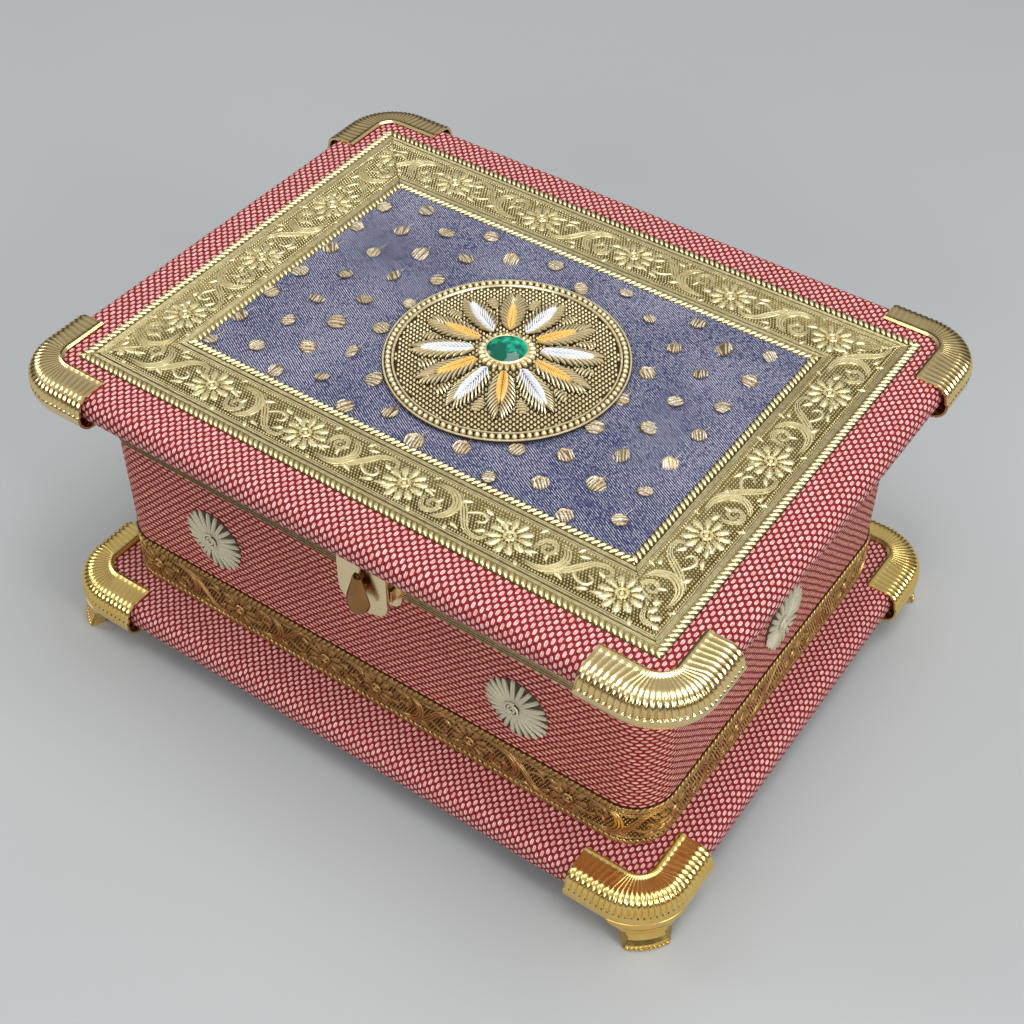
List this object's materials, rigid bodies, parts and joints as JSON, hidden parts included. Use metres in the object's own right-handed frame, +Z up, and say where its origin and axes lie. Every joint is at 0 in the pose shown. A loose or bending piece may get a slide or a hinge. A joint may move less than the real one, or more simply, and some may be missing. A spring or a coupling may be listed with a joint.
{
  "type": "hinged keepsake box",
  "caption": "Rectangular fabric-covered box on a footed plinth, with a hinged lid, embossed borders, a lid medallion, ribbed corner guards and a turn clasp.",
  "frame": {"origin": "centre of the footprint, on the surface the feet stand on", "axes": "+X to the right seen from the clasp side, +Y towards the hinges, +Z up"},
  "size_m": [0.2334, 0.1816, 0.1162],
  "materials": {
    "amber_enamel": "amber enamel",
    "base_paper": "matt black paper",
    "basket_weave_fabric": "crimson and cream basket weave",
    "blue_brocade": "blue twill with gold sequins",
    "board": "grey-brown pressed board",
    "corner_brass": "bright stamped brass, ribbed",
    "embossed_foil": "antique gold embossed foil",
    "gold_thread": "pale gold metallic thread",
    "green_stone": "faceted green glass",
    "hardware_brass": "plain bright brass",
    "lining_velvet": "short-pile crimson velvet",
    "medallion_brass": "antiqued brass, pressed",
    "white_enamel": "white enamel"
  },
  "bodies": {
    "box": {"back_wall_board": "board", "body_bottom_band": "embossed_foil", "body_fabric_wrap": "basket_weave_fabric", "body_top_trim": "embossed_foil", "clasp_keeper": "hardware_brass", "clasp_keeper_screws": "hardware_brass", "floor_lining_pad": "lining_velvet", "front_wall_board": "board", "hinge_body_leaf_left": "hardware_brass", "hinge_body_leaf_right": "hardware_brass", "hinge_body_screws": "hardware_brass", "hinge_pin_left": "hardware_brass", "hinge_pin_right": "hardware_brass", "left_wall_board": "board", "plinth_base_paper": "base_paper", "plinth_board": "board", "plinth_fabric_cover": "basket_weave_fabric", "plinth_guard_back_left": "corner_brass", "plinth_guard_back_right": "corner_brass", "plinth_guard_front_left": "corner_brass", "plinth_guard_front_right": "corner_brass", "right_wall_board": "board", "sunburst_back_left": "gold_thread", "sunburst_back_right": "gold_thread", "sunburst_front_left": "gold_thread", "sunburst_front_right": "gold_thread", "sunburst_left": "gold_thread", "sunburst_right": "gold_thread", "wall_lining": "lining_velvet"},
    "lid": {"border_back": "embossed_foil", "border_front": "embossed_foil", "border_left": "embossed_foil", "border_right": "embossed_foil", "clasp_lid_leaf": "hardware_brass", "clasp_lid_screws": "hardware_brass", "clasp_pin": "hardware_brass", "hinge_lid_leaf_left": "hardware_brass", "hinge_lid_leaf_right": "hardware_brass", "hinge_lid_screws": "hardware_brass", "lid_board": "board", "lid_brocade_panel": "blue_brocade", "lid_fabric_cover": "basket_weave_fabric", "lid_guard_back_left": "corner_brass", "lid_guard_back_right": "corner_brass", "lid_guard_front_left": "corner_brass", "lid_guard_front_right": "corner_brass", "lid_lining_pad": "lining_velvet", "medallion_amber_petals": "amber_enamel", "medallion_bezel": "medallion_brass", "medallion_plate": "medallion_brass", "medallion_stone": "green_stone", "medallion_white_petals": "white_enamel"},
    "hasp": {"clasp_flap": "hardware_brass"},
    "turn_leaf": {"clasp_turn_leaf": "hardware_brass", "clasp_cam_bar": "hardware_brass"}
  },
  "joints": [
    {"name": "lid_hinge", "type": "hinge", "parent": "box", "child": "lid", "pos_m": [0, 0.0752, 0.0974], "axis": [-1, 0, 0], "range_deg": [0, 100]},
    {"name": "hasp_hinge", "type": "hinge", "parent": "lid", "child": "hasp", "pos_m": [0.0075, -0.0781, 0.0977], "axis": [-1, 0, 0], "range_deg": [0, 75]},
    {"name": "turn_leaf_pivot", "type": "hinge", "parent": "hasp", "child": "turn_leaf", "pos_m": [0.0075, -0.0781, 0.082], "axis": [0, 1, 0], "range_deg": [0, 90]}
  ]
}
